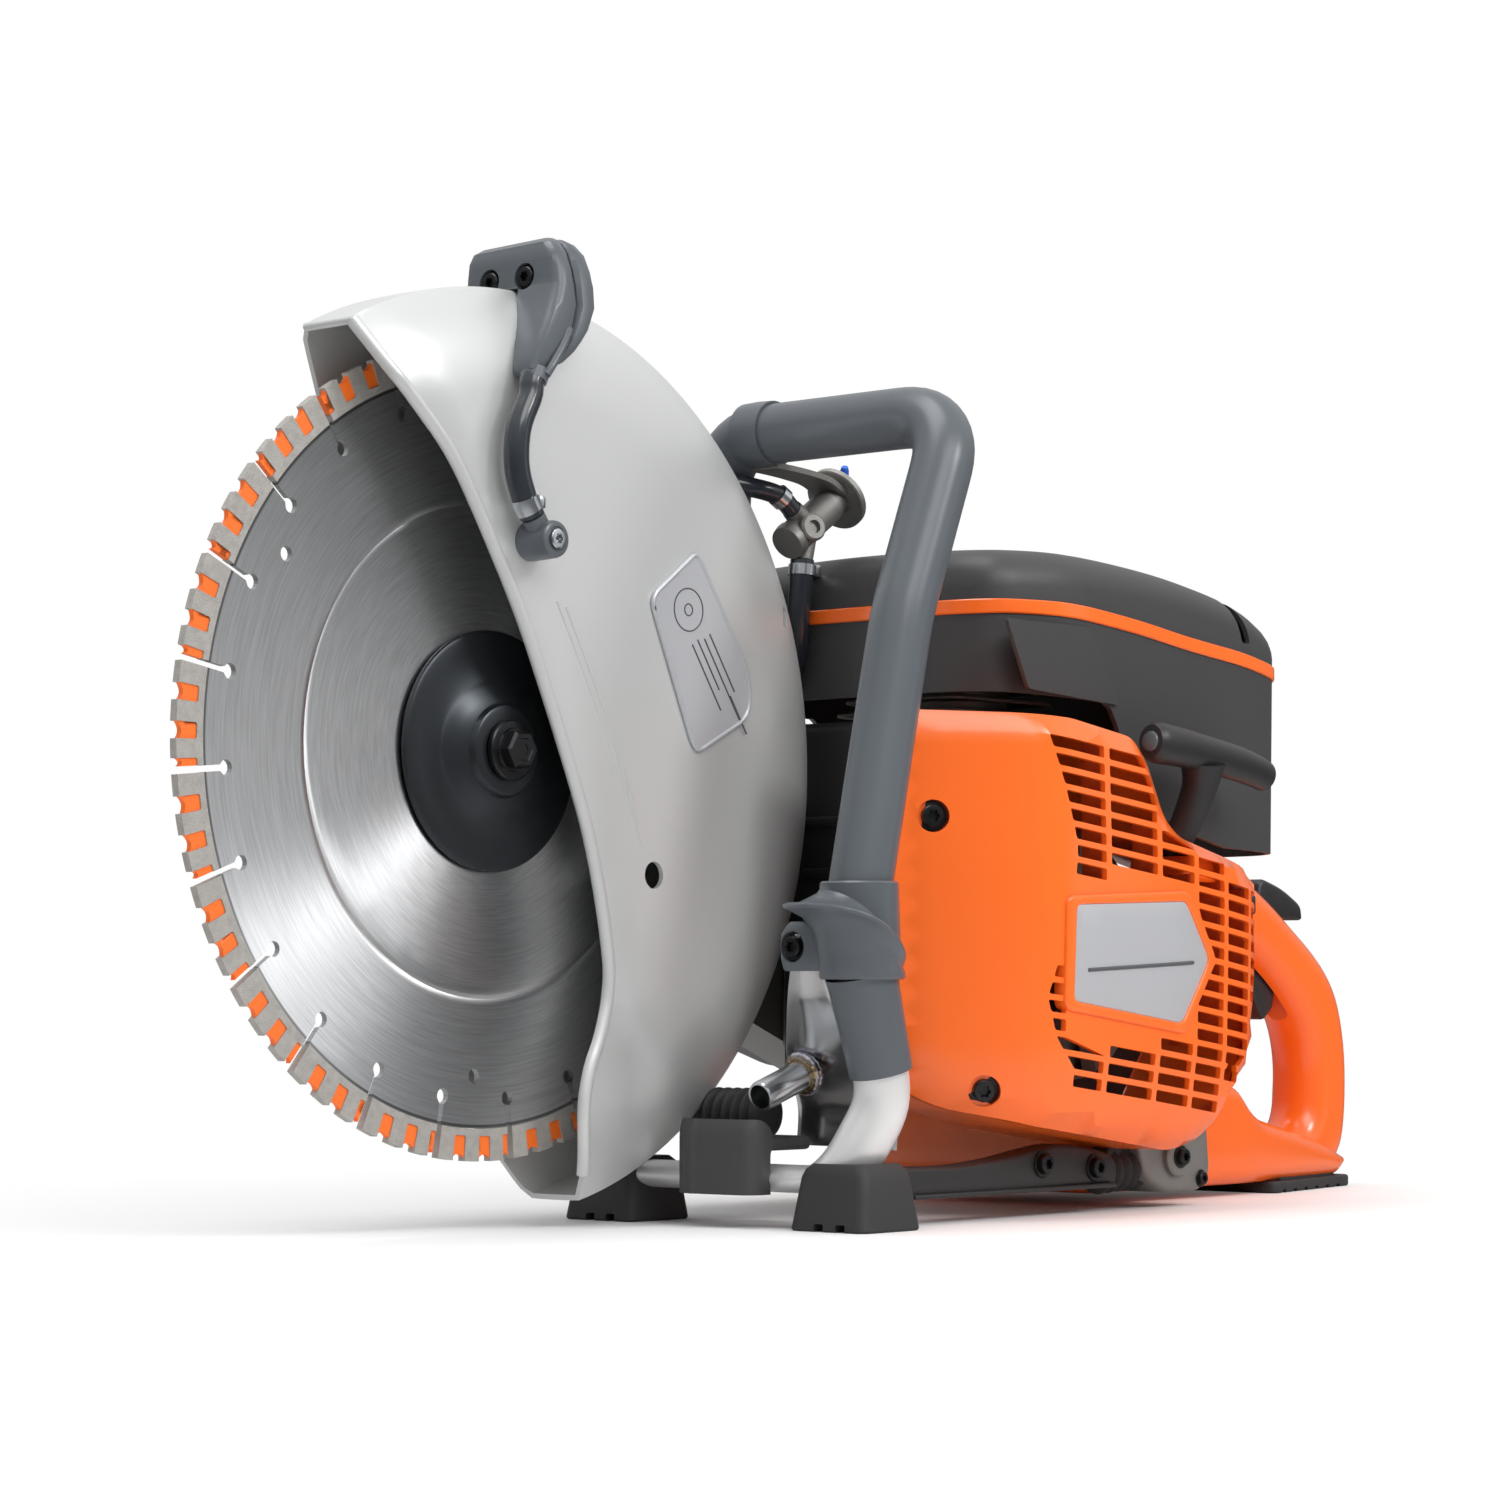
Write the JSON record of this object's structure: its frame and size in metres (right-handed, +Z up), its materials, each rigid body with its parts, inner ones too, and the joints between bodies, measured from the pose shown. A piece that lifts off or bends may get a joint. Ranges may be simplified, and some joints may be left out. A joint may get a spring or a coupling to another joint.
{
  "type": "concrete cut-off saw",
  "caption": "Handheld petrol cut-off saw: belt-driven diamond blade under a tilting guard with spray hoses, finned engine, recoil starter, tubular front handle and closed rear handle.",
  "frame": {"origin": "on the ground, under the middle of the saw's bounding box, with the saw standing on its rubber feet", "axes": "+X runs from the blade back to the rear handle, +Y to the operator's right, +Z up"},
  "size_m": [0.769, 0.232, 0.426],
  "materials": {
    "orange_plastic": "glossy moulded orange plastic",
    "charcoal_plastic": "fine grained charcoal plastic",
    "grey_plastic": "satin blue grey moulding",
    "black_rubber": "dull moulded rubber",
    "hose_rubber": "smooth dark hose",
    "guard_silver": "satin silver paint on pressed light alloy",
    "cast_alloy": "sand cast light alloy",
    "bare_tube": "bare drawn tube",
    "blade_steel": "ground steel with circular grain",
    "plated_steel": "zinc plated steel",
    "black_steel": "black satin steel",
    "blue_plastic": "blue moulded plastic"
  },
  "bodies": {
    "chassis": {"cutting_arm": "cast_alloy", "spindle_bearing_left": "plated_steel", "spindle_bearing_right": "plated_steel", "drive_belt": "black_rubber", "belt_cover": "charcoal_plastic", "crankcase": "cast_alloy", "cylinder": "cast_alloy", "muffler": "black_steel", "carburettor": "cast_alloy", "air_filter": "charcoal_plastic", "spark_plug_cap": "black_rubber", "top_cover": "charcoal_plastic", "trim_band": "orange_plastic", "starter_cover": "orange_plastic", "handle_tube": "bare_tube", "handle_grip": "grey_plastic", "handle_collar": "grey_plastic", "handle_lower_sleeve": "grey_plastic", "front_bracket": "plated_steel", "trolley_stub": "plated_steel", "front_foot_left": "black_rubber", "front_foot_right": "black_rubber", "front_shield": "charcoal_plastic", "corrugated_sleeve": "black_rubber", "side_rail": "charcoal_plastic", "damper_boot": "black_rubber", "damper_mount": "cast_alloy", "rear_handle": "orange_plastic", "rear_foot": "black_rubber", "tap_bracket": "cast_alloy", "tap_body": "cast_alloy", "feed_hose": "hose_rubber"},
    "blade": {"blade_disc": "blade_steel", "outer_flange": "black_steel", "inner_flange": "black_steel", "blade_spindle": "plated_steel", "arbor_bolt": "black_steel", "driven_pulley": "cast_alloy"},
    "clutch": {"clutch_drum": "plated_steel"},
    "crank": {"crankshaft": "plated_steel", "flywheel": "cast_alloy"},
    "piston": {"piston": "cast_alloy"},
    "guard": {"guard_shell": "guard_silver", "data_plate": "guard_silver", "guard_handle_front": "grey_plastic", "guard_handle_rear": "grey_plastic", "guard_handle_screw_1": "black_steel", "guard_handle_screw_2": "black_steel", "spray_nozzle_left": "black_rubber", "spray_nozzle_right": "black_rubber", "spray_hose_left": "hose_rubber", "spray_hose_right": "hose_rubber"},
    "recoil_handle": {"pull_handle": "charcoal_plastic", "starter_rope": "hose_rubber"},
    "trigger": {"throttle_trigger": "charcoal_plastic"},
    "lockout": {"throttle_lockout": "charcoal_plastic"},
    "stop_slider": {"stop_switch": "charcoal_plastic"},
    "choke": {"choke_knob": "charcoal_plastic"},
    "water_lever": {"tap_lever": "blue_plastic"},
    "tank_cap": {"fuel_cap": "charcoal_plastic"}
  },
  "joints": [
    {"name": "blade_spin", "type": "hinge", "parent": "chassis", "child": "blade", "pos_m": [-0.2095, 0.034, 0.205], "axis": [0, 1, 0], "continuous": true},
    {"name": "clutch_spin", "type": "hinge", "parent": "chassis", "child": "clutch", "pos_m": [0.0755, 0.034, 0.119], "axis": [0, 1, 0], "continuous": true},
    {"name": "crank_spin", "type": "hinge", "parent": "chassis", "child": "crank", "pos_m": [0.0755, 0.034, 0.119], "axis": [0, 1, 0], "continuous": true},
    {"name": "piston_stroke", "type": "slide", "parent": "chassis", "child": "piston", "axis": [0, 0, 1], "range_m": [0, 0.034]},
    {"name": "guard_tilt", "type": "hinge", "parent": "chassis", "child": "guard", "pos_m": [-0.2095, 0.034, 0.205], "axis": [0, 1, 0], "range_deg": [-15, 35]},
    {"name": "starter_pull", "type": "slide", "parent": "chassis", "child": "recoil_handle", "axis": [0.4699, -0.2, 0.8598], "range_m": [0, 0.6], "stiffness_N_per_m": 20},
    {"name": "trigger_squeeze", "type": "hinge", "parent": "chassis", "child": "trigger", "pos_m": [0.3015, -0.011, 0.116], "axis": [0, 1, 0], "range_deg": [-14, 0], "stiffness_Nm_per_rad": 0.3},
    {"name": "lockout_press", "type": "hinge", "parent": "chassis", "child": "lockout", "pos_m": [0.3075, -0.011, 0.147], "axis": [0, 1, 0], "range_deg": [0, 8], "stiffness_Nm_per_rad": 0.3},
    {"name": "stop_slide", "type": "slide", "parent": "chassis", "child": "stop_slider", "axis": [1, 0, 0], "range_m": [-0.004, 0]},
    {"name": "choke_pull", "type": "slide", "parent": "chassis", "child": "choke", "axis": [1, 0, 0], "range_m": [0, 0.012]},
    {"name": "tap_turn", "type": "hinge", "parent": "chassis", "child": "water_lever", "pos_m": [0.0025, 0.03, 0.322], "axis": [0.829, 0, 0.5593], "range_deg": [0, 75]},
    {"name": "cap_turn", "type": "hinge", "parent": "chassis", "child": "tank_cap", "pos_m": [0.1905, 0.076, 0.031], "axis": [0, 1, 0], "range_deg": [-180, 0]}
  ],
  "couplings": [
    {"joint": "clutch_spin", "follows": "blade_spin", "ratio": 2},
    {"joint": "crank_spin", "follows": "blade_spin", "ratio": 2}
  ]
}
